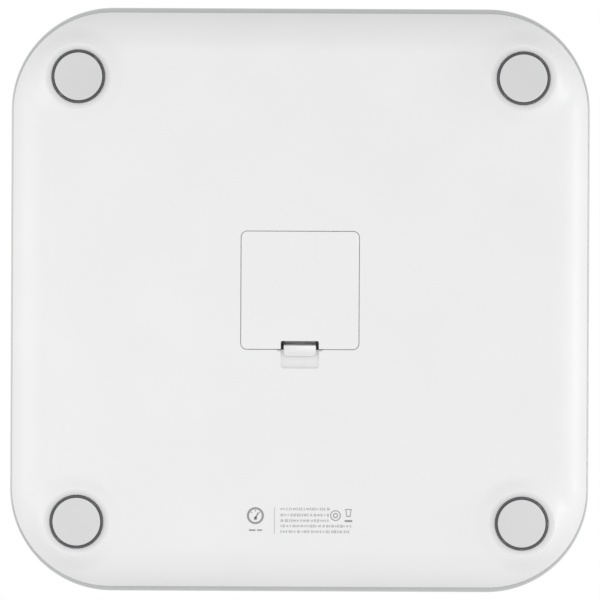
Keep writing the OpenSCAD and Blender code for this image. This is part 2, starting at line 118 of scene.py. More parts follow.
def new_object(name, verts, faces, body, material, nodes=(), smooth=35.0):
    """A mesh piece from millimetre points, riding on its body and standing for its CAD nodes."""
    mesh = bpy.data.meshes.new(name)
    mesh.from_pydata([Vector(v) * MM for v in verts], [], faces)
    mesh.validate()
    mesh.polygons.foreach_set("use_smooth", [True] * len(mesh.polygons))
    mesh.set_sharp_from_angle(angle=math.radians(smooth))
    mesh.materials.append(material)
    piece = bpy.data.objects.new(name, mesh)
    bpy.context.scene.collection.objects.link(piece)
    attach(piece, body)
    if nodes:
        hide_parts(*nodes)
    return piece


def loft(rings, cap=True):
    """Faces between closed rings of equal length, capped at both ends."""
    n = len(rings[0])
    verts = [p for ring in rings for p in ring]
    faces = []
    for k in range(len(rings) - 1):
        for i in range(n):
            j = (i + 1) % n
            faces.append((k * n + i, k * n + j, (k + 1) * n + j, (k + 1) * n + i))
    if cap:
        last = (len(rings) - 1) * n
        faces.append(tuple(reversed(range(n))))
        faces.append(tuple(range(last, last + n)))
    return verts, faces


def revolve(profile, centre, segments=96):
    """A closed solid from (radius, height) points going once round the section.
    A profile that starts and ends on the axis is closed by its two poles."""
    cx, cy = centre
    verts, faces, rows = [], [], []
    for r, z in profile:
        if r < 1e-6:
            rows.append([len(verts)] * segments)
            verts.append((cx, cy, z))
            continue
        rows.append(list(range(len(verts), len(verts) + segments)))
        for i in range(segments):
            a = math.tau * i / segments
            verts.append((cx + r * math.cos(a), cy + r * math.sin(a), z))
    on_axis = profile[0][0] < 1e-6
    pairs = list(zip(rows, rows[1:])) + ([] if on_axis else [(rows[-1], rows[0])])
    for low, high in pairs:
        for i in range(segments):
            j = (i + 1) % segments
            face = []
            for v in (low[i], low[j], high[j], high[i]):
                if v not in face:
                    face.append(v)
            if len(face) > 2:
                faces.append(tuple(face))
    return verts, faces


def arc(cx, cy, r, start, end, steps):
    """Points on an arc, angles in degrees."""
    return [
        (
            cx + r * math.cos(math.radians(start + (end - start) * i / steps)),
            cy + r * math.sin(math.radians(start + (end - start) * i / steps)),
        )
        for i in range(steps + 1)
    ]


def rounded_loop(half_w, half_d, r, inset=0.0, arc_steps=16, straight_steps=1, centre=(0, 0)):
    """A rounded rectangle as a closed counter-clockwise loop, with its corner centres kept at any inset."""
    cx, cy = centre
    points = []
    for k, (sx, sy) in enumerate(((1, 1), (-1, 1), (-1, -1), (1, -1))):
        middle = (cx + sx * (half_w - r), cy + sy * (half_d - r))
        corner = arc(*middle, r - inset, 90 * k, 90 * k + 90, arc_steps)
        if points:
            points += between(points[-1], corner[0], straight_steps)
        points += corner
    points += between(points[-1], points[0], straight_steps)
    return points


def between(a, b, steps):
    """The points strictly between a and b."""
    return [
        (a[0] + (b[0] - a[0]) * i / steps, a[1] + (b[1] - a[1]) * i / steps)
        for i in range(1, steps)
    ]


def prism(outline, low, high, along="z"):
    """A closed prism over a counter-clockwise outline, along z, or along x for a (y, z) outline."""
    def place(p, t):
        return (p[0], p[1], t) if along == "z" else (t, p[0], p[1])
    return loft([[place(p, low) for p in outline], [place(p, high) for p in outline]])


def joined(*parts):
    """One vertex and face list from several."""
    verts, faces = [], []
    for v, f in parts:
        offset = len(verts)
        verts += list(v)
        faces += [tuple(i + offset for i in face) for face in f]
    return verts, faces


def tube(path, r, sides=10):
    """A closed round tube along a path."""
    points = [Vector(p) for p in path]
    rings, up = [], Vector((0, 0, 1))
    for i, p in enumerate(points):
        ahead = points[min(i + 1, len(points) - 1)] - points[max(i - 1, 0)]
        side = ahead.cross(up)
        side = side.normalized() if side.length > 1e-6 else Vector((1, 0, 0))
        top = side.cross(ahead).normalized()
        rings.append([
            tuple(p + side * r * math.cos(math.tau * k / sides) + top * r * math.sin(math.tau * k / sides))
            for k in range(sides)
        ])
    verts, faces = loft(rings)
    return verts, [tuple(reversed(f)) for f in faces]


def soft_path(points, radius, steps=6):
    """A polyline with its bends rounded."""
    out = [Vector(points[0])]
    for a, b, c in zip(points, points[1:], points[2:]):
        a, b, c = Vector(a), Vector(b), Vector(c)
        back, ahead = (a - b), (c - b)
        cut = min(radius, back.length * 0.45, ahead.length * 0.45)
        p, q = b + back.normalized() * cut, b + ahead.normalized() * cut
        for i in range(steps + 1):
            t = i / steps
            out.append(p * (1 - t) ** 2 + b * 2 * t * (1 - t) + q * t ** 2)
    out.append(Vector(points[-1]))
    return out


def bevel(piece, width, segments=3, angle=40.0):
    mod = piece.modifiers.new("edges", "BEVEL")
    mod.width = width * MM
    mod.segments = segments
    mod.limit_method = "ANGLE"
    mod.angle_limit = math.radians(angle)
    mod.harden_normals = True
    mod.use_clamp_overlap = True
    return mod


def union(piece, parts):
    """Adds closed shapes to a piece as one solid."""
    for v, f in parts:
        mesh = bpy.data.meshes.new("cutter")
        mesh.from_pydata([Vector(p) * MM for p in v], [], f)
        tool = bpy.data.objects.new("cutter", mesh)
        bpy.context.scene.collection.objects.link(tool)
        mod = piece.modifiers.new("join", "BOOLEAN")
        mod.operation = "UNION"
        mod.solver = "EXACT"
        mod.object = tool
        bpy.context.view_layer.update()
        graph = bpy.context.evaluated_depsgraph_get()
        made = bpy.data.meshes.new_from_object(piece.evaluated_get(graph))
        piece.modifiers.remove(mod)
        piece.data = made
        bpy.data.objects.remove(tool)
    piece.data.polygons.foreach_set("use_smooth", [True] * len(piece.data.polygons))
    piece.data.set_sharp_from_angle(angle=math.radians(35))
    return piece


# ---------------------------------------------------------------- materials


PAINT_LOW = (0.90, 0.905, 0.905)
PAINT_HIGH = (0.925, 0.93, 0.93)
WINDOW_TONE = (0.80, 0.81, 0.815)
GLASS_EDGE_TONE = (0.80, 0.84, 0.825)
# Painted shade: the glass's underside is darkened grey where the shell's edge shades it.
GLASS_UNDER_SHADE = (0.53, 0.54, 0.535)
SLEEVE_DARK = (0.035, 0.06, 0.05)
SLEEVE_BAND = (0.72, 0.55, 0.34)


def tree(name):
    mat = bpy.data.materials.new(name)
    mat.use_nodes = True
    nodes, links = mat.node_tree.nodes, mat.node_tree.links
    return mat, nodes, links, nodes["Principled BSDF"]


def noise(nodes, links, coords, scale, detail=3.0, roughness=0.5):
    tex = nodes.new("ShaderNodeTexNoise")
    tex.inputs["Scale"].default_value = scale
    tex.inputs["Detail"].default_value = detail
    tex.inputs["Roughness"].default_value = roughness
    links.new(coords, tex.inputs["Vector"])
    return tex.outputs["Fac"]


def object_coords(nodes):
    return nodes.new("ShaderNodeTexCoord").outputs["Object"]


def ranged(nodes, links, value, low, high, start=0.0, end=1.0):
    node = nodes.new("ShaderNodeMapRange")
    node.inputs["From Min"].default_value = start
    node.inputs["From Max"].default_value = end
    node.inputs["To Min"].default_value = low
    node.inputs["To Max"].default_value = high
    links.new(value, node.inputs["Value"])
    return node.outputs["Result"]


def mixed(nodes, links, share, a, b):
    """A colour between a and b, each a colour or a socket."""
    node = nodes.new("ShaderNodeMix")
    node.data_type = "RGBA"
    links.new(share, node.inputs["Factor"])
    for socket, value in ((node.inputs[6], a), (node.inputs[7], b)):
        if isinstance(value, bpy.types.NodeSocket):
            links.new(value, socket)
        else:
            socket.default_value = (*value, 1.0)
    return node.outputs[2]


def offset(nodes, links, value, middle):
    node = nodes.new("ShaderNodeMath")
    node.operation = "SUBTRACT"
    node.inputs[1].default_value = middle
    links.new(value, node.inputs[0])
    return node.outputs[0]


def size_of(nodes, links, value):
    node = nodes.new("ShaderNodeMath")
    node.operation = "ABSOLUTE"
    links.new(value, node.inputs[0])
    return node.outputs[0]


def patchy(nodes, links, cloud, a, b, start=0.3, end=0.7):
    """A colour between a and b by a noise, with its contrast raised."""
    return mixed(nodes, links, ranged(nodes, links, cloud, 0.0, 1.0, start, end), a, b)


def bumped(nodes, links, shader, heights):
    """Stacks bumps on a shader from (height socket, depth in millimetres) pairs."""
    normal = None
    for height, depth in heights:
        node = nodes.new("ShaderNodeBump")
        node.inputs["Strength"].default_value = 1.0
        node.inputs["Distance"].default_value = depth * MM
        links.new(height, node.inputs["Height"])
        if normal is not None:
            links.new(normal, node.inputs["Normal"])
        normal = node.outputs["Normal"]
    links.new(normal, shader.inputs["Normal"])


def worn(nodes, links, colour, tone, reach=(0.53, 0.6)):
    """Lightens or darkens convex edges a little."""
    pointy = nodes.new("ShaderNodeNewGeometry").outputs["Pointiness"]
    return mixed(nodes, links, ranged(nodes, links, pointy, 0.0, 1.0, *reach), colour, tone)


def moulded(name, colour, rough=0.45, vary=0.02, grain_mm=0.35, grain_depth=0.004, coat=0.0, wear=None):
    """Moulded plastic or rubber: faint cloudy colour, spark-eroded grain, uneven gloss, rubbed edges."""
    mat, nodes, links, shader = tree(name)
    at = object_coords(nodes)
    cloud = noise(nodes, links, at, 22.0, 4.0)
    low = tuple(c * (1 - vary) for c in colour)
    high = tuple(min(1.0, c * (1 + vary)) for c in colour)
    base = patchy(nodes, links, cloud, low, high)
    if wear:
        base = worn(nodes, links, base, wear)
    links.new(base, shader.inputs["Base Color"])
    flow = noise(nodes, links, at, 90.0, 3.0)
    links.new(ranged(nodes, links, flow, rough - 0.05, rough + 0.05, 0.3, 0.7), shader.inputs["Roughness"])
    grain = noise(nodes, links, at, 1.0 / (grain_mm * MM), 2.0)
    bumped(nodes, links, shader, [(grain, grain_depth)])
    shader.inputs["Coat Weight"].default_value = coat
    return mat


def metal(name, colour, rough=0.3, brushed=(1, 1, 1), vary=0.06):
    """Plated or rolled metal with fine drawn marks and slightly uneven polish."""
    mat, nodes, links, shader = tree(name)
    at = object_coords(nodes)
    shader.inputs["Metallic"].default_value = 1.0
    stretch = nodes.new("ShaderNodeMapping")
    stretch.inputs["Scale"].default_value = brushed
    links.new(at, stretch.inputs["Vector"])
    lines = noise(nodes, links, stretch.outputs["Vector"], 1600.0, 2.0)
    cloud = noise(nodes, links, at, 180.0, 4.0)
    dark = tuple(c * (1 - vary) for c in colour)
    links.new(patchy(nodes, links, cloud, dark, colour), shader.inputs["Base Color"])
    links.new(ranged(nodes, links, lines, rough - 0.08, rough + 0.08, 0.3, 0.7), shader.inputs["Roughness"])
    bumped(nodes, links, shader, [(lines, 0.003)])
    return mat


def glass_material():
    """White-backed tempered glass: a glossy coat over white paint, pale green where the edge is thick, and
    grey painted shade over its underside and lower edge, where the shell's edge shades it.
    """
    mat, nodes, links, shader = tree("white_backed_glass")
    at = object_coords(nodes)
    split = nodes.new("ShaderNodeSeparateXYZ")
    links.new(at, split.inputs["Vector"])
    middle = (GLASS_LOW.z + GLASS_HIGH.z) / 2 * MM
    away = offset(nodes, links, split.outputs["Z"], middle)
    edge = ranged(nodes, links, size_of(nodes, links, away), 1.0, 0.0, 0.0012, 0.0024)
    # Painted shade: darkens the underside and lower edge of the glass, where the shell's edge shades it.
    under_shade = ranged(nodes, links, away, 1.0, 0.0, -0.0025, -0.0010)
    cloud = noise(nodes, links, at, 9.0, 3.0)
    paint = patchy(nodes, links, cloud, PAINT_LOW, PAINT_HIGH)
    paint = mixed(nodes, links, display_window(nodes, links, split), paint, WINDOW_TONE)
    base = mixed(nodes, links, edge, paint, GLASS_EDGE_TONE)
    base = mixed(nodes, links, under_shade, base, GLASS_UNDER_SHADE)
    links.new(base, shader.inputs["Base Color"])
    smear = noise(nodes, links, at, 14.0, 6.0, 0.7)
    links.new(ranged(nodes, links, smear, 0.045, 0.11, 0.35, 0.7), shader.inputs["Roughness"])
    wave = noise(nodes, links, at, 26.0, 1.0)
    bumped(nodes, links, shader, [(wave, 0.004)])
    shader.inputs["Coat Weight"].default_value = 0.6
    shader.inputs["Coat Roughness"].default_value = 0.03
    return mat


def display_window(nodes, links, split):
    """1 where the paint is thin over the display, fading to 0 round it, on the top of the glass only."""
    low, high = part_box("display_module")
    centre, half = (low + high) / 2, (high - low) / 2
    shares = []
    for axis, middle, reach in (("X", centre.x, half.x - 0.002), ("Y", centre.y, half.y - 0.002)):
        away = size_of(nodes, links, offset(nodes, links, split.outputs[axis], middle))
        shares.append(ranged(nodes, links, away, 1.0, 0.0, reach - 0.001, reach))
    top = GLASS_HIGH.z * MM
    shares.append(ranged(nodes, links, split.outputs["Z"], 0.0, 1.0, top - 0.0004, top - 0.0002))
    share = shares[0]
    for other in shares[1:]:
        both = nodes.new("ShaderNodeMath")
        both.operation = "MULTIPLY"
        links.new(share, both.inputs[0])
        links.new(other, both.inputs[1])
        share = both.outputs[0]
    return share


def board_material():
    """Green solder mask with lighter raised traces."""
    mat, nodes, links, shader = tree("solder_mask")
    at = object_coords(nodes)
    cells = nodes.new("ShaderNodeTexVoronoi")
    cells.feature = "DISTANCE_TO_EDGE"
    cells.distance = "EUCLIDEAN"
    cells.inputs["Scale"].default_value = 260.0
    links.new(at, cells.inputs["Vector"])
    traces = ranged(nodes, links, cells.outputs["Distance"], 1.0, 0.0, 0.03, 0.06)
    base = mixed(nodes, links, traces, (0.02, 0.16, 0.06), (0.05, 0.28, 0.12))
    links.new(base, shader.inputs["Base Color"])
    links.new(ranged(nodes, links, noise(nodes, links, at, 300.0), 0.25, 0.4), shader.inputs["Roughness"])
    bumped(nodes, links, shader, [(traces, 0.03)])
    shader.inputs["Coat Weight"].default_value = 0.4
    return mat


def sleeve_material(name, dark, light, low_y, high_y, front_nub):
    """A shrink sleeve in two plain bands with a bare metal end, by distance along the cell."""
    mat, nodes, links, shader = tree(name)
    at = object_coords(nodes)
    split = nodes.new("ShaderNodeSeparateXYZ")
    links.new(at, split.inputs["Vector"])
    start, end = (high_y, low_y) if front_nub else (low_y, high_y)
    along = ranged(nodes, links, split.outputs["Y"], 0.0, 1.0, start * MM, end * MM)
    band = ranged(nodes, links, along, 0.0, 1.0, 0.665, 0.672)
    stripe = ranged(nodes, links, along, 0.0, 1.0, 0.64, 0.642)
    stripe_end = ranged(nodes, links, along, 0.0, 1.0, 0.655, 0.657)
    base = mixed(nodes, links, stripe, dark, (0.8, 0.8, 0.78))
    base = mixed(nodes, links, stripe_end, base, dark)
    base = mixed(nodes, links, band, base, light)
    links.new(base, shader.inputs["Base Color"])
    links.new(ranged(nodes, links, noise(nodes, links, at, 240.0), 0.22, 0.34), shader.inputs["Roughness"])
    links.new(ranged(nodes, links, along, 0.15, 0.75, 0.665, 0.672), shader.inputs["Metallic"])
    bumped(nodes, links, shader, [(noise(nodes, links, at, 500.0), 0.01)])
    shader.inputs["Coat Weight"].default_value = 0.5
    return mat


def foam_material(name, colour):
    """Open-cell foam: small pores sunk in a matt surface, with painted shade darkening each pore."""
    mat, nodes, links, shader = tree(name)
    at = object_coords(nodes)
    cells = nodes.new("ShaderNodeTexVoronoi")
    cells.inputs["Scale"].default_value = 1400.0
    links.new(at, cells.inputs["Vector"])
    pores = ranged(nodes, links, cells.outputs["Distance"], 0.0, 1.0, 0.1, 0.6)
    # The pores' darker colour is painted shade in their hollows.
    dark = tuple(c * 0.45 for c in colour)
    links.new(mixed(nodes, links, pores, dark, colour), shader.inputs["Base Color"])
    shader.inputs["Roughness"].default_value = 0.95
    bumped(nodes, links, shader, [(pores, 0.25)])
    return mat


def ink_material(name, low, high):
    """Printed ink, a little uneven between two greys."""
    mat, nodes, links, shader = tree(name)
    at = object_coords(nodes)
    cloud = noise(nodes, links, at, 2600.0, 3.0)
    links.new(patchy(nodes, links, cloud, (low,) * 3, (high,) * 3, 0.3, 0.75), shader.inputs["Base Color"])
    shader.inputs["Roughness"].default_value = 0.6
    bumped(nodes, links, shader, [(cloud, 0.004)])
    return mat


SHELL_WHITE = moulded("satin_shell_abs", (0.862, 0.862, 0.862), 0.42, 0.012, 0.3, 0.004)
DOOR_WHITE = moulded(
    "satin_door_abs", (0.865, 0.865, 0.865), 0.42, 0.012, 0.3, 0.004, wear=(0.9, 0.9, 0.9)
)
LATCH_WHITE = moulded(
    "satin_latch_abs", (0.79, 0.79, 0.79), 0.42, 0.012, 0.3, 0.003, wear=(0.92, 0.92, 0.92)
)
FRAME_WHITE = moulded(
    "matt_frame_abs", (0.78, 0.78, 0.785), 0.6, 0.03, 0.4, 0.008, wear=(0.85, 0.85, 0.85)
)
BOX_WHITE = moulded("matt_box_abs", (0.8, 0.8, 0.8), 0.6, 0.03, 0.4, 0.008, wear=(0.86, 0.86, 0.86))
HOLDER_GREY = moulded(
    "nylon_holder", (0.66, 0.66, 0.67), 0.5, 0.03, 0.5, 0.006, wear=(0.75, 0.75, 0.75)
)
RING_RUBBER = moulded(
    "dark_ring_rubber", (0.10, 0.10, 0.105), 0.7, 0.1, 0.25, 0.01, wear=(0.17, 0.17, 0.17)
)
PAD_RUBBER = moulded(
    "pale_pad_rubber", (0.70, 0.70, 0.705), 0.62, 0.03, 0.22, 0.012, wear=(0.72, 0.72, 0.72)
)
GLASS = glass_material()
BOARD = board_material()
CHIP = moulded("chip_epoxy", (0.03, 0.03, 0.032), 0.55, 0.2, 0.15, 0.006, wear=(0.09, 0.09, 0.09))
CREAM = moulded(
    "connector_nylon", (0.82, 0.78, 0.66), 0.45, 0.04, 0.3, 0.005, wear=(0.87, 0.83, 0.72)
)
DISPLAY_BLACK = moulded(
    "display_filled_resin", (0.05, 0.05, 0.055), 0.5, 0.15, 0.3, 0.006, wear=(0.1, 0.1, 0.1)
)
TAPE = foam_material("tape_foam", (0.2, 0.2, 0.21))
GASKET = foam_material("gasket_foam", (0.07, 0.07, 0.075))
PAD_FOAM = foam_material("door_foam", (0.12, 0.12, 0.125))
NICKEL = metal("nickel_plate", (0.78, 0.75, 0.70), 0.25, (1, 8, 8))
SPRING_STEEL = metal("spring_wire", (0.72, 0.70, 0.66), 0.28)
SCREW_STEEL = metal("zinc_screw", (0.62, 0.63, 0.65), 0.35)
CELL_STEEL = metal("rolled_cell_steel", (0.55, 0.56, 0.58), 0.38, (1, 12, 1))
GAUGE = moulded("gauge_sealant", (0.88, 0.86, 0.78), 0.35, 0.04, 0.6, 0.03, coat=0.3)
RED_SKIN = moulded("red_wire_skin", (0.55, 0.03, 0.02), 0.4, 0.08, 0.3, 0.004, coat=0.2)
BLACK_SKIN = moulded("black_wire_skin", (0.03, 0.03, 0.032), 0.4, 0.15, 0.3, 0.004, coat=0.2)
WHITE_SKIN = moulded("white_wire_skin", (0.8, 0.8, 0.78), 0.4, 0.04, 0.3, 0.004, coat=0.2)
INK = ink_material("grey_ink", 0.28, 0.36)
INK_PALE = ink_material("pale_ink", 0.50, 0.60)


# ---------------------------------------------------------------- shell skin


def shell_inset(x, y):
    qx, qy = abs(x) - (HALF_W - SHELL_R), abs(y) - (HALF_D - SHELL_R)
    return SHELL_R - (math.hypot(qx, qy) if qx > 0 and qy > 0 else max(qx, qy))


def rounded_inset(x, y, half_w, half_d, r):
    """How far inside a rounded rectangle a point is; negative outside."""
    qx, qy = abs(x) - (half_w - r), abs(y) - (half_d - r)
    return r - (math.hypot(qx, qy) if qx > 0 and qy > 0 else max(qx, qy))


def opening_inset(x, y):
    return rounded_inset(x, y - DOOR_Y, OPEN_HALF, OPEN_HALF, OPEN_R)


def recess_inset(x, y, grow=0.0):
    """How far inside the finger recess a point is, with the side towards the door left open."""
    front = OPEN_FRONT - RECESS_L - grow
    qx = abs(x) - (NOTCH_W / 2 + grow - RECESS_R - grow)
    qy = (front + RECESS_R + grow) - y
    r = RECESS_R + grow
    return r - (math.hypot(qx, qy) if qx > 0 and qy > 0 else max(qx, qy))


def flank(d, level, arc_r, run):
    if d >= run:
        return level
    reach = run - max(d, 0.0)
    return level + arc_r - math.sqrt(arc_r ** 2 - reach ** 2)


def nearest_foot(x, y):
    return min(math.hypot(x - f.x, y - f.y) for f in FEET)


def boss_share(r):
    s = (r - CREST_R) / (BOSS_FOOT_R - CREST_R)
    if s >= 1:
        return 0.0
    s = max(s, 0.0)
    a, b = BOSS_SHOULDER, BOSS_STRAIGHT
    whole = (1 + b - a) / 2
    if s < a:
        gone = s ** 2 / (2 * a)
    elif s < b:
        gone = s - a / 2
    else:
        gone = whole - (1 - s) ** 2 / (2 * (1 - b))
    return 1 - gone / whole


def edge_drop(d):
    """Rise of a small rounded edge at distance d from it."""
    if d >= EDGE:
        return 0.0
    reach = EDGE - max(d, 0.0)
    return EDGE - math.sqrt(max(EDGE ** 2 - reach ** 2, 0.0))


def outer_z(x, y):
    """Height of the shell's outside above the ground."""
    d = shell_inset(x, y)
    z = flank(d, FLOOR_Z, FLANK_ARC, FLANK_RUN)
    r = nearest_foot(x, y)
    if r < CREST_R:
        return LIP_Z + CREST_DIP * ((CREST_R - r) / (CREST_R - HOLE_R)) ** CREST_BEND
    if r < BOSS_FOOT_R:
        fade = min(max(d, 0.0) / RIM_FADE, 1.0)
        return z + (LIP_Z - z) * boss_share(r) * fade * fade * (3 - 2 * fade)
    inside = recess_inset(x, y)
    if y < OPEN_FRONT + STEP and inside >= 0:
        reach = max(RECESS_SCOOP - inside, 0.0) / RECESS_SCOOP
        top = FLOOR_Z + EDGE
        return top + (RECESS_Z - top) * math.sqrt(max(1 - reach ** 2, 0.0))
    gap = -opening_inset(x, y)
    if y < OPEN_FRONT + STEP:
        gap = min(gap, -inside)
    return z + edge_drop(gap)


def inner_z(x, y):
    """Height of the shell's inside, with the walls of its bosses, posts and recess."""
    d = shell_inset(x, y)
    if d < WALL + STEP / 2:
        return RIM_Z
    z = flank(d - WALL, FLOOR_TOP, FLANK_ARC - WALL, FLANK_RUN - WALL)
    r = nearest_foot(x, y)
    if r < BORE_R + STEP / 2:
        return BORE_Z
    if r < BOSS_TOP_R - STEP / 2:
        return max(z, BOSS_TOP_Z)
    if y < OPEN_FRONT + STEP and recess_inset(x, y, RECESS_BACK_GROW) > -STEP / 2:
        return RECESS_BACK_Z
    for ex, ey in EARS:
        e = math.hypot(x - ex, y - ey)
        if EAR_BORE_R + STEP / 2 < e < EAR_R - STEP / 2:
            return EAR_Z
    return z


class Plan:
    """Points and edges that the shell's triangles have to follow."""

    def __init__(self):
        self.points, self.edges, self.index = [], [], {}

    def point(self, p):
        key = (round(p[0], 4), round(p[1], 4))
        if key not in self.index:
            self.index[key] = len(self.points)
            self.points.append(Vector(key))
        return self.index[key]

    def line(self, points, closed=False, keep=lambda p: True):
        last, first = None, None
        for p in points:
            here = self.point(p) if keep(p) else None
            first = here if first is None and here is not None and last is None else first
            if last is not None and here is not None and last != here:
                self.edges.append((last, here))
            last = here
        if closed and last is not None and keep(points[0]):
            start = self.point(points[0])
            if last != start:
                self.edges.append((last, start))


def flank_insets():
    """Ring distances at even steps of the flank's slope, then the level floor's edge."""
    steep = math.asin(FLANK_RUN / FLANK_ARC)
    steps = 22
    return [FLANK_RUN - FLANK_ARC * math.sin(steep * (1 - i / steps)) for i in range(steps + 1)]


def recess_line(inset, arc_steps=7):
    """A U round the recess, from the opening's edge and back to it."""
    r = RECESS_R - inset
    half = NOTCH_W / 2 - inset
    front = OPEN_FRONT - RECESS_L + inset
    if r <= 0.02:
        corner_l, corner_r = [(-half, front)], [(half, front)]
    else:
        corner_l = arc(-half + r, front + r, r, 180, 270, arc_steps)
        corner_r = arc(half - r, front + r, r, 270, 360, arc_steps)
    across = between(corner_l[-1], corner_r[0], 9)
    start, end = (-half, OPEN_FRONT), (half, OPEN_FRONT)
    into = [start] + between(start, corner_l[0], 5)
    out_of = between(corner_r[-1], end, 5) + [end]
    return into + corner_l + across + corner_r + out_of


def shell_plan():
    plan = Plan()
    clear = lambda p: nearest_foot(*p) > POLAR_R + 0.3
    insets = sorted(set(flank_insets() + [FLANK_RUN + 3, FLANK_RUN + 7]))
    for inset in insets:
        ring = rounded_loop(HALF_W, HALF_D, SHELL_R, inset, 28, 24)
        plan.line(ring, True, (lambda p: True) if inset < 0.01 else clear)
    beside_foot = lambda p: nearest_foot(*p) > POLAR_R - 0.2
    for inset in (WALL, WALL + STEP):
        plan.line(rounded_loop(HALF_W, HALF_D, SHELL_R, inset, 28, 24), True, beside_foot)
    radii = [HOLE_R, 14.2, 14.5, 15.0, BORE_R, BORE_R + STEP, 16.0, 16.5, CREST_R]
    radii += [17.2, 17.4, 17.65, 17.9, 18.2, 18.6, 19.1]
    radii += [BOSS_TOP_R - STEP, BOSS_TOP_R, 20.4, 21.1, 21.9, 22.7, 23.6, 24.4, POLAR_R]
    on_floor = lambda p: shell_inset(*p) > FLANK_RUN + 0.4
    for foot in FEET:
        for r in radii:
            plan.line(arc(foot.x, foot.y, r, 0, 360, 88)[:-1], True)
        for r in (26.2, 27.4, 28.6, 30.0):
            plan.line(arc(foot.x, foot.y, r, 0, 360, 88)[:-1], True, on_floor)
    for r in (EAR_BORE_R, EAR_BORE_R + STEP, EAR_R - STEP, EAR_R):
        for x, y in EARS:
            plan.line(arc(x, y, r, 0, 360, 24)[:-1], True)
    recess_clear = lambda p: not (p[1] < OPEN_FRONT + STEP and recess_inset(*p) > -EDGE * 3.65)
    for share in (0.0, 0.04, 0.15, 0.33, 0.6, 1.0, 1.7, 2.6, 3.6):
        d = EDGE * share
        ring = rounded_loop(OPEN_HALF, OPEN_HALF, OPEN_R, -d, 8, 14, (0, DOOR_Y))
        plan.line(ring, True, (lambda p: True) if share == 0 else recess_clear)
        if share:
            plan.line(recess_line(-d))
    for share in (0.0, 0.004, 0.02, 0.06, 0.13, 0.24, 0.4, 0.62, 1.0):
        plan.line(recess_line(RECESS_SCOOP * share))
    for grow in (RECESS_BACK_GROW, RECESS_BACK_GROW + STEP):
        plan.line(recess_line(-grow))
    pitch = 13.0
    reach = int(120 / pitch)
    for i in range(-reach, reach + 1):
        for j in range(-reach, reach + 1):
            p = (i * pitch + 1.3, j * pitch + 0.7)
            inland = shell_inset(*p) > FLANK_RUN + 10 and nearest_foot(*p) > BOSS_FOOT_R + 4
            if inland and opening_inset(*p) < -3 and recess_inset(*p) < -4:
                plan.point(p)
    return plan


def in_shell(x, y):
    return (
        shell_inset(x, y) > 0
        and nearest_foot(x, y) > HOLE_R * 0.9995
        and opening_inset(x, y) < 0
    )


def outer_normal(x, y):
    h = 0.004
    dx = (outer_z(x + h, y) - outer_z(x - h, y)) / (2 * h)
    dy = (outer_z(x, y + h) - outer_z(x, y - h)) / (2 * h)
    return Vector((dx, dy, -1)).normalized()


def shell_skin():
    plan = shell_plan()
    points, _, triangles, *_ = delaunay_2d_cdt(plan.points, plan.edges, [], 0, 1e-5)
    kept = []
    for t in triangles:
        a, b, c = (points[i] for i in t)
        if in_shell((a.x + b.x + c.x) / 3, (a.y + b.y + c.y) / 3):
            kept.append(tuple(t) if (b - a).cross(c - a) > 0 else tuple(reversed(t)))
    n = len(points)
    verts = [(p.x, p.y, outer_z(p.x, p.y)) for p in points]
    verts += [(p.x, p.y, inner_z(p.x, p.y)) for p in points]
    used = {}
    for t in kept:
        for i in range(3):
            used[(t[i], t[(i + 1) % 3])] = True
    faces = [tuple(reversed(t)) for t in kept] + [tuple(i + n for i in t) for t in kept]
    faces += [(a, b, b + n, a + n) for a, b in used if (b, a) not in used]
    live = sorted({i for f in faces for i in f})
    place = {v: k for k, v in enumerate(live)}
    verts = [verts[i] for i in live]
    faces = [tuple(place[i] for i in f) for f in faces]
    outer = len(kept)
    snaps = joined(*(snap_box(k) for k in range(12)))
    verts, faces = joined((verts, faces), snaps)
    skin = new_object("shell_skin", verts, faces, "body", SHELL_WHITE, ("bottom_shell",))
    set_outer_normals(skin, outer)
    return skin


def set_outer_normals(skin, outer):
    """Gives the outside its exact normals, so that the curved flank and bosses shade cleanly."""
    mesh = skin.data
    known, normals = {}, [(0.0, 0.0, 0.0)] * len(mesh.loops)
    for polygon in list(mesh.polygons)[:outer]:
        for li in polygon.loop_indices:
            v = mesh.loops[li].vertex_index
            if v not in known:
                co = mesh.vertices[v].co / MM
                known[v] = outer_normal(co.x, co.y)
            normals[li] = tuple(known[v])
    mesh.normals_split_custom_set(normals)


def snap_box(k):
    """One snap ridge inside the rim, at a quarter turn and one of three places along the side."""
    turn, along = k % 4, (k // 4 - 1) * 60.0
    out = HALF_W if turn % 2 == 0 else HALF_D
    x0, x1 = out - 3.2, out - WALL / 2
    corners = [(x0, along - 7), (x1, along - 7), (x1, along + 7), (x0, along + 7)]
    c, s = round(math.cos(turn * math.pi / 2)), round(math.sin(turn * math.pi / 2))
    return prism([(x * c - y * s, x * s + y * c) for x, y in corners], 19.6, 20.6)


# ---------------------------------------------------------------- other pieces


def glass_plate():
    half_w, half_d = GLASS_HIGH.x, GLASS_HIGH.y
    low, high, r = GLASS_LOW.z, GLASS_HIGH.z, GLASS_EDGE
    levels = [(r + 3.0, low), (r + 0.4, low)]
    angles = [math.radians(a) for a in range(0, 91, 9)]
    levels += [(r - r * math.sin(a), low + r * (1 - math.cos(a))) for a in angles]
    levels += [(inset, low + high - z) for inset, z in reversed(levels)]
    rings = [
        [(x, y, z) for x, y in rounded_loop(half_w, half_d, GLASS_R, inset, 32, 10)]
        for inset, z in levels
    ]
    verts, faces = loft(rings)
    return new_object("glass_plate", verts, faces, "body", GLASS, ("glass_platform",), 50)


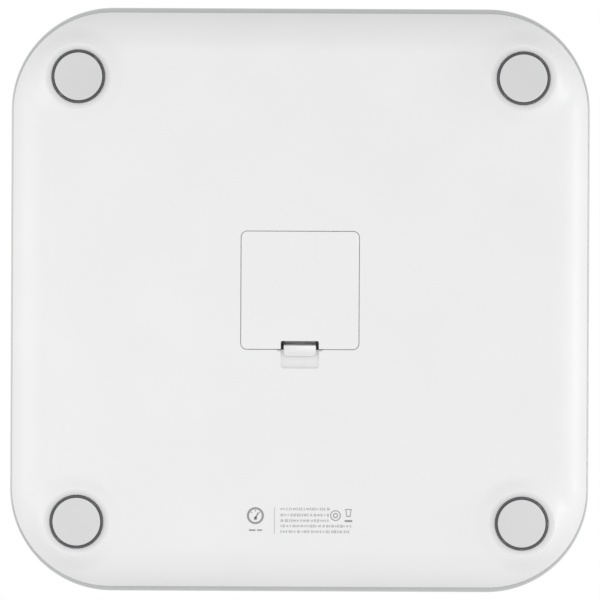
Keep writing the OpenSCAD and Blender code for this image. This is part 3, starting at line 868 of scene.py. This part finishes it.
def door_outline():
    """The door's rounded square with its notch, counter-clockwise from the front right corner."""
    half = DOOR_SIDE / 2
    front = DOOR_Y - half
    back = front + NOTCH_D
    corner = 0.8
    points = []
    for k, (sx, sy) in enumerate(((1, 1), (-1, 1), (-1, -1), (1, -1))):
        points += arc(sx * (half - DOOR_R), DOOR_Y + sy * (half - DOOR_R), DOOR_R, 90 * k, 90 * k + 90, 10)
        if k == 2:
            w = NOTCH_W / 2
            points += arc(-w - 0.4, front + 0.4, 0.4, 270, 360, 4)
            points += [(-w, back - corner)] + arc(-w + corner, back - corner, corner, 180, 90, 6)[1:]
            points += arc(w - corner, back - corner, corner, 90, 0, 6)
            points += arc(w + 0.4, front + 0.4, 0.4, 180, 270, 4)
    return points


def door_leg():
    """The leg at the back of the notch, and the bridge that carries the latch's pivot."""
    back = DOOR_LOW.y + NOTCH_D
    y_out, z_out = back - 2.95, 16.2
    top, pivot_y, pivot_z, socket, slot = 18.2, back - 1.35, 17.0, 1.05, 0.85
    mouth = pivot_z - math.sqrt(socket ** 2 - slot ** 2)
    start = math.degrees(math.atan2(mouth - pivot_z, -slot))
    bore = arc(pivot_y, pivot_z, socket, start, -(180 + start), 20)
    low = FLOOR_Z + 0.5
    outline = [(back, low), (back + 1, low), (back + 1, top), (y_out, top), (y_out, z_out)]
    outline += [(pivot_y - slot, z_out)] + bore + [(pivot_y + slot, z_out), (back, z_out)]
    half = (LATCH_HIGH.x - LATCH_LOW.x) / 2
    return prism(outline, -half, half, "x")


def door_tabs():
    back = DOOR_Y + DOOR_SIDE / 2
    z0, z1 = FLOOR_TOP + 0.2, FLOOR_TOP + 1.4
    floor = FLOOR_Z + DOOR_T
    outline = [(back - 1.5, floor - 0.5), (back, floor - 0.5), (back, z0), (DOOR_HIGH.y - 0.4, z0)]
    outline += [(DOOR_HIGH.y, z0 + 0.4), (DOOR_HIGH.y, z1 - 0.3), (DOOR_HIGH.y - 0.3, z1), (back - 1.5, z1)]
    return [prism(outline, s * 14.6 - 2, s * 14.6 + 2, "x") for s in (-1, 1)]


def door_panel():
    verts, faces = prism(door_outline(), FLOOR_Z, FLOOR_Z + DOOR_T)
    door = new_object("door_panel", verts, faces, "door", DOOR_WHITE, ("battery_door",))
    union(door, [door_leg()] + door_tabs())
    bevel(door, EDGE, 4, 50)
    return door


def latch_outline(back, front, half):
    corner = 2.0
    points = [(half, back), (-half, back)]
    points += arc(-half + corner, front + corner, corner, 180, 270, 6)
    points += arc(half - corner, front + corner, corner, 270, 360, 6)
    return points


def latch_spring():
    """The latch's bent leaf: from its round root down to the tongue, with the catch on its front."""
    back, front, half = LATCH_LOW.y + 5.5, LATCH_LOW.y, LATCH_HIGH.x
    pivot_y, pivot_z, barrel, leg = DOOR_LOW.y + NOTCH_D - 1.35, 17.0, 1.0, 0.5
    foot = FLOOR_Z + 1.6
    start = math.degrees(math.atan2(-math.sqrt(barrel ** 2 - leg ** 2), leg))
    root = arc(pivot_y, pivot_z, barrel, start, 180 - start, 20)
    nose, low = DOOR_LOW.y + 0.35, FLOOR_Z + 0.5
    catch = [(back - 0.2, 12.4), (nose, 12.4), (nose, 11.35), (back - 0.4, 11.0)]
    outline = [(back, low), (back, foot)] + root + catch + [(back - 1.2, foot), (back - 1.2, low)]
    verts, faces = prism(latch_outline(back, front, half), FLOOR_Z, foot)
    latch = new_object("latch_tongue", verts, faces, "latch", LATCH_WHITE, ("door_latch",))
    union(latch, [prism(outline, -half, half, "x")])
    bevel(latch, 0.3, 3, 50)
    return latch


# How far the foam strip's outline draws in, and at what share of its thickness
CUSHION_CROWN = (
    (0.3, 0.0), (0.08, 0.12), (0.0, 0.4), (0.1, 0.7), (0.5, 0.86), (1.4, 0.95), (3.5, 0.99), (7.0, 1.0),
)


def door_cushion():
    """The foam strip that presses on the cells, crowned between its edges."""
    low, high = mm_box("door_pad")
    cx, cy = (low.x + high.x) / 2, (low.y + high.y) / 2
    half_w, half_d, t = (high.x - low.x) / 2, (high.y - low.y) / 2, high.z - low.z
    rings = []
    for inset, share in CUSHION_CROWN:
        loop = rounded_loop(half_w - inset, half_d - inset, 2.0, 0.0, 6, 8, (cx, cy))
        rings.append([(x, y, low.z + t * share) for x, y in loop])
    verts, faces = loft(rings)
    cushion = new_object("door_cushion", verts, faces, "door", PAD_FOAM, ("door_pad",), 60)
    return cushion


def foot_pieces(corner, centre):
    body = "foot_" + corner
    at = (centre.x, centre.y)
    pad_low, pad_high = mm_box("foot_pad_" + corner)
    pad_r, pad_t = (pad_high.x - pad_low.x) / 2, pad_high.z
    bead = 0.3
    face = [(0, 0.12), (pad_r * 0.5, 0.1), (pad_r * 0.8, 0.03), (pad_r - 1.4, 0.0), (pad_r - bead, 0.0)]
    side = arc(pad_r - bead, bead, bead, -90, 0, 6)[1:]
    verts, faces = revolve(face + side + [(pad_r, pad_t), (0, pad_t)], at)
    node = "foot_pad_" + corner
    new_object("pad_" + corner, verts, faces, body, PAD_RUBBER, (node,), 50)
    ring_low, ring_high = mm_box("foot_ring_" + corner)
    out_r, in_r, bead = (ring_high.x - ring_low.x) / 2, pad_r + 0.1, 0.45
    low, high = ring_low.z, ring_high.z
    section = arc(in_r + bead, low + bead, bead, 180, 270, 5)
    section += arc(out_r - bead, low + bead, bead, 270, 360, 5)
    verts, faces = revolve(section + [(out_r, high), (in_r, high)], at)
    node = "foot_ring_" + corner
    new_object("ring_" + corner, verts, faces, body, RING_RUBBER, (node,), 50)


def cell_profile(length, r, nub_r, nub_l):
    """Half section of an AA cell from its nub to its flat end, as (radius, distance)."""
    points = [(0, 0), (nub_r - 0.4, 0)] + [(nub_r - 0.4 + a, b) for a, b in ((0.28, 0.08), (0.4, 0.4))]
    points += [(nub_r, nub_l - 0.15), (nub_r + 0.5, nub_l), (r - 1.6, nub_l), (r - 1.2, nub_l + 0.25)]
    points += [(r - 0.7, nub_l + 0.05), (r - 0.2, nub_l + 0.25), (r, nub_l + 0.8)]
    points += [(r, length - 0.8), (r - 0.2, length - 0.3), (r - 0.9, length - 0.05)]
    points += [(r - 1.3, length - 0.3), (r - 2.6, length - 0.3), (r - 3.0, length), (0, length)]
    return points


def cell(k):
    node = f"battery_{k}"
    low, high = mm_box(node)
    r = (high.x - low.x) / 2
    x, z = (low.x + high.x) / 2, (low.z + high.z) / 2
    to_back = k % 2 == 1
    profile = cell_profile(high.y - low.y, r, 2.75, 1.5)
    verts, faces = revolve(profile, (0, 0), 64)
    start, way = (high.y, -1) if to_back else (low.y, 1)
    verts = [(x + vx * way, start + way * vz, z + vy) for vx, vy, vz in verts]
    faces = [tuple(reversed(f)) for f in faces]
    sleeve = sleeve_material(f"sleeve_{k}", SLEEVE_DARK, SLEEVE_BAND, low.y, high.y, to_back)
    new_object(f"cell_{k}", verts, faces, "body", sleeve, (node,), 40)


def springs():
    """Four conical coils between the cells' flat ends and their plates."""
    parts = []
    for k in range(1, 5):
        low, high = mm_box(f"battery_{k}")
        x, z = (low.x + high.x) / 2, (low.z + high.z) / 2
        spring_low, spring_high = mm_box("contact_springs")
        to_back = k % 2 == 1
        start, end = (spring_low.y, low.y) if to_back else (spring_high.y, high.y)
        wire, base_r, tip_r, turns, steps = 0.25, 3.4, 2.0, 2.5, 110
        way = 1 if end > start else -1
        span = abs(end - start) - 2 * wire
        path = []
        for i in range(steps + 1):
            t = i / steps
            a = math.tau * turns * t
            r = base_r + (tip_r - base_r) * t
            path.append((x + r * math.cos(a), start + way * (wire + span * t), z + r * math.sin(a)))
        parts.append(tube(path, wire * 0.98, 8))
    verts, faces = joined(*parts)
    return new_object("coil_springs", verts, faces, "body", SPRING_STEEL, ("contact_springs",), 60)


def foot_point(corner, along, across):
    """A point from a foot's centre, with +along pointing out to the corner."""
    centre = FEET[CORNERS.index(corner)]
    a = math.atan2(centre.y, centre.x)
    c, s = math.cos(a), math.sin(a)
    return (centre.x + along * c - across * s, centre.y + along * s + across * c)


WIRE_PITCH = 1.5
WIRE_R = 0.44
LEAD_R = 0.62


def wire_route(corner, k):
    """The flat route that part.scad gives wire k of a load cell."""
    side = 1 if corner.endswith("right") else -1
    front = corner.startswith("front")
    o = k * WIRE_PITCH
    y = (84.0 if front else 96.0) + o
    points = [foot_point(corner, -11.9, side * o), foot_point(corner, -26, side * o)]
    points += [(side * (58 + o), -46), (side * (58 + o), y)] if front else [(side * 84, y), (side * 60, y)]
    return points + [(side * 41.45, y)]


def cell_wires(corner):
    node = "cell_wires_" + corner
    low, high = mm_box(node)
    z = (low.z + high.z) / 2
    for k, skin in ((-1, RED_SKIN), (0, WHITE_SKIN), (1, BLACK_SKIN)):
        path = [(x, y, z) for x, y in wire_route(corner, k)]
        verts, faces = tube(soft_path(path, 5.0), WIRE_R)
        name = f"wire_{corner}_{k + 2}"
        new_object(name, verts, faces, "body", skin, (node,), 60)


def battery_leads():
    low, high = mm_box("battery_wires")
    z = (low.z + high.z) / 2
    for side, skin in ((-1, BLACK_SKIN), (1, RED_SKIN)):
        x = side * 21.9
        path = [(x, low.y + 0.65, z), (x, low.y + 8.65, z)]
        path += [(side * 1.6, 59.0, z), (side * 1.6, high.y - 0.1, z)]
        verts, faces = tube(soft_path(path, 6.0), LEAD_R)
        name = "battery_lead_" + ("left" if side < 0 else "right")
        new_object(name, verts, faces, "body", skin, ("battery_wires",), 60)


# ---------------------------------------------------------------- generic print


PRINT_Z = (5.53, 5.605)
PRINT_Y = -107.4


def ring_shape(cx, cy, out_r, in_r, segments=48):
    low, high = PRINT_Z
    return revolve([(in_r, low), (out_r, low), (out_r, high), (in_r, high)], (cx, cy), segments)


def bar_shape(cx, cy, w, d, angle=0.0):
    c, s = math.cos(math.radians(angle)), math.sin(math.radians(angle))
    corners = [(-w / 2, -d / 2), (w / 2, -d / 2), (w / 2, d / 2), (-w / 2, d / 2)]
    return prism([(cx + x * c - y * s, cy + x * s + y * c) for x, y in corners], *PRINT_Z)


def print_emblem():
    """A plain dial sign: a ring with a needle and three ticks, over two short strokes."""
    cx, cy = 22.6, PRINT_Y - 4.4
    parts = [ring_shape(cx, cy, 4.4, 3.3), ring_shape(cx, cy - 1.4, 0.9, 0.01, 24)]
    parts.append(bar_shape(cx - 0.75, cy + 0.1, 0.8, 3.2, 28))
    for a in (-0.9, 0.0, 0.9):
        tick = (cx + 2.6 * math.sin(a), cy + 2.6 * math.cos(a))
        parts.append(bar_shape(*tick, 0.4, 0.9, -math.degrees(a)))
    parts += [bar_shape(cx + dx, PRINT_Y - 11.9, w, 0.8) for dx, w in ((-2.2, 2.6), (1.6, 3.4))]
    verts, faces = joined(*parts)
    return new_object("print_dial_sign", verts, faces, "body", INK)


def print_rows():
    """Five rows of short strokes in place of small print, with a plain divider."""
    parts = [bar_shape(12.7, PRINT_Y - 6.9, 0.35, 13.8)]
    for y, end in ((-0.9, -17.0), (-4.0, -17.0), (-6.9, -17.0), (-9.7, -27.6), (-12.6, -27.6)):
        x = 9.6
        while x > end + 1.2:
            w = rng.choice((0.6, 0.8, 1.1, 1.5))
            parts.append(bar_shape(x - w / 2, PRINT_Y + y, w, rng.choice((1.0, 1.3, 1.5))))
            x -= w + rng.choice((0.35, 0.5, 0.8))
    verts, faces = joined(*parts)
    return new_object("print_strokes", verts, faces, "body", INK_PALE)


def print_marks():
    """A double ring and a small bin outline over a bar."""
    middle = (-18.9, PRINT_Y - 4.2)
    parts = [ring_shape(*middle, 2.75, 2.3), ring_shape(*middle, 1.3, 0.8, 24)]
    x, y = -25.6, PRINT_Y
    parts.append(bar_shape(x, y - 1.0, 3.4, 0.4))
    parts += [bar_shape(x - 1.1, y - 2.9, 0.4, 3.6, 8), bar_shape(x + 1.1, y - 2.9, 0.4, 3.6, -8)]
    parts += [bar_shape(x, y - 4.6, 2.0, 0.4), bar_shape(x, y - 7.0, 3.9, 1.0)]
    verts, faces = joined(*parts)
    return new_object("print_marks", verts, faces, "body", INK)


# ---------------------------------------------------------------- carried-over CAD nodes


def dress(node, material, width=0.0, segments=2, angle=45.0):
    """Gives a CAD node its finish, and rounds its edges where width is set."""
    obj = NODES[node]
    obj.data.materials.clear()
    obj.data.materials.append(material)
    if width:
        weld = obj.modifiers.new("weld", "WELD")
        weld.merge_threshold = 1e-6
        flat = obj.modifiers.new("flat", "DECIMATE")
        flat.decimate_type = "DISSOLVE"
        flat.angle_limit = math.radians(0.5)
        bevel(obj, width, segments, angle)


def dress_nodes():
    dress("adhesive_tape", TAPE)
    dress("top_frame", FRAME_WHITE, 0.3)
    dress("battery_box", BOX_WHITE, 0.25)
    dress("box_screws", SCREW_STEEL, 0.12)
    dress("contact_plates", NICKEL, 0.06)
    dress("main_pcb", BOARD, 0.1)
    dress("pcb_chips", CHIP, 0.12)
    dress("pcb_connectors", CREAM, 0.3)
    dress("pcb_screws", SCREW_STEEL, 0.12)
    dress("display_module", DISPLAY_BLACK, 0.2)
    dress("display_gasket", GASKET)
    dress("strain_gauges", GAUGE, 0.25, 3)
    dress("holder_screws", SCREW_STEEL, 0.12)
    for corner in CORNERS:
        dress("load_cell_" + corner, CELL_STEEL, 0.15)
        dress("cell_holder_" + corner, HOLDER_GREY, 0.25)
        dress("foot_holder_" + corner, HOLDER_GREY, 0.3)


# ---------------------------------------------------------------- stage


def floor_material():
    """A pale floor that can be seen through from below."""
    mat, nodes, links, shader = tree("pale_floor")
    at = object_coords(nodes)
    cloud = noise(nodes, links, at, 3.0)
    base = mixed(nodes, links, cloud, (0.86, 0.86, 0.86), (0.88, 0.88, 0.88))
    links.new(base, shader.inputs["Base Color"])
    shader.inputs["Roughness"].default_value = 0.8
    clear = nodes.new("ShaderNodeBsdfTransparent")
    pick = nodes.new("ShaderNodeMixShader")
    links.new(nodes.new("ShaderNodeNewGeometry").outputs["Backfacing"], pick.inputs["Fac"])
    links.new(shader.outputs["BSDF"], pick.inputs[1])
    links.new(clear.outputs["BSDF"], pick.inputs[2])
    links.new(pick.outputs["Shader"], nodes["Material Output"].inputs["Surface"])
    return mat


def make_floor():
    half, below = 12.0, -0.0004
    mesh = bpy.data.meshes.new("floor")
    corners = [(-half, -half), (half, -half), (half, half), (-half, half)]
    mesh.from_pydata([(x, y, below) for x, y in corners], [], [(0, 1, 2, 3)])
    mesh.materials.append(floor_material())
    floor = bpy.data.objects.new("floor", mesh)
    bpy.context.scene.collection.objects.link(floor)
    floor.visible_shadow = False
    floor.visible_diffuse = False
    floor.visible_glossy = False
    floor.visible_transmission = False


def make_world(strength=0.75, shade=(1.0, 1.0, 1.0)):
    """White behind the object, and an even soft light of its own strength on it."""
    world = bpy.data.worlds.new("studio")
    bpy.context.scene.world = world
    world.use_nodes = True
    nodes, links = world.node_tree.nodes, world.node_tree.links
    lit = nodes["Background"]
    lit.inputs["Color"].default_value = (*shade, 1)
    lit.inputs["Strength"].default_value = strength
    seen = nodes.new("ShaderNodeBackground")
    seen.inputs["Color"].default_value = (1, 1, 1, 1)
    seen.inputs["Strength"].default_value = 1.0
    mix = nodes.new("ShaderNodeMixShader")
    links.new(nodes.new("ShaderNodeLightPath").outputs["Is Camera Ray"], mix.inputs["Fac"])
    links.new(lit.outputs["Background"], mix.inputs[1])
    links.new(seen.outputs["Background"], mix.inputs[2])
    links.new(mix.outputs["Shader"], nodes["World Output"].inputs["Surface"])


def soft_light(name, place, target, width, height, power):
    """An area light in metres, unseen by the camera itself."""
    data = bpy.data.lights.new(name, "AREA")
    data.shape = "RECTANGLE"
    data.size, data.size_y = width, height
    data.energy = power
    light = bpy.data.objects.new(name, data)
    bpy.context.scene.collection.objects.link(light)
    light.location = place
    light.rotation_mode = "QUATERNION"
    light.rotation_quaternion = (Vector(target) - Vector(place)).to_track_quat("-Z", "Y")
    light.visible_camera = False
    return light


# name: place, target, width, height, power. +X is the left of the picture and +Y its top.
LIGHTS = {
    "front": ((0.0, 0.0, -1.2), (0.0, 0.0, 0.0), 0.8, 0.8, 2.17),
    "left_low": ((0.45, 0.0, -0.22), (0.1, 0.0, 0.01), 0.35, 0.25, 0.2),
    "left_graze": ((0.6, 0.0, -0.06), (0.0, 0.0, 0.01), 0.3, 0.1, 0.16),
    "right_graze": ((-0.6, 0.0, -0.06), (0.0, 0.0, 0.01), 0.3, 0.1, 0.5),
    "bottom_low": ((0.0, -0.45, -0.22), (0.0, -0.1, 0.01), 0.35, 0.25, 0.06),
    "bottom_right": ((-0.42, -0.42, -0.3), (-0.1, -0.1, 0.01), 0.3, 0.3, 0.15),
    "over": ((0.25, -0.35, 0.9), (0.0, 0.0, 0.03), 0.6, 0.6, 1.2),
}


def make_lights():
    for name, row in LIGHTS.items():
        soft_light(name, *row)


def make_camera():
    """Straight below the scale, a long way off, with the picture's top towards +Y and its slight roll."""
    lens, sensor, view_w, roll = 1200.0, 36.0, 310.62, math.radians(0.26)
    distance = lens * view_w / sensor
    data = bpy.data.cameras.new("camera")
    data.lens, data.sensor_width = lens, sensor
    data.clip_start, data.clip_end = 1.0, 60.0
    data.dof.use_dof = False
    camera = bpy.data.objects.new("camera", data)
    bpy.context.scene.collection.objects.link(camera)
    right = Vector((-math.cos(roll), math.sin(roll), 0))
    up = Vector((math.sin(roll), math.cos(roll), 0))
    camera.matrix_world = Matrix((
        (right.x, up.x, 0, 0), (right.y, up.y, 0, 0), (0, 0, -1, -distance * MM), (0, 0, 0, 1),
    ))
    bpy.context.scene.camera = camera
    bpy.context.scene.view_settings.view_transform = "Standard"


# ---------------------------------------------------------------- scene


make_camera()
make_world()
make_lights()
make_floor()
shell_skin()
glass_plate()
door_panel()
latch_spring()
door_cushion()
for corner, centre in zip(CORNERS, FEET):
    foot_pieces(corner, centre)
    cell_wires(corner)
for k in range(1, 5):
    cell(k)
springs()
battery_leads()
print_emblem()
print_rows()
print_marks()
dress_nodes()
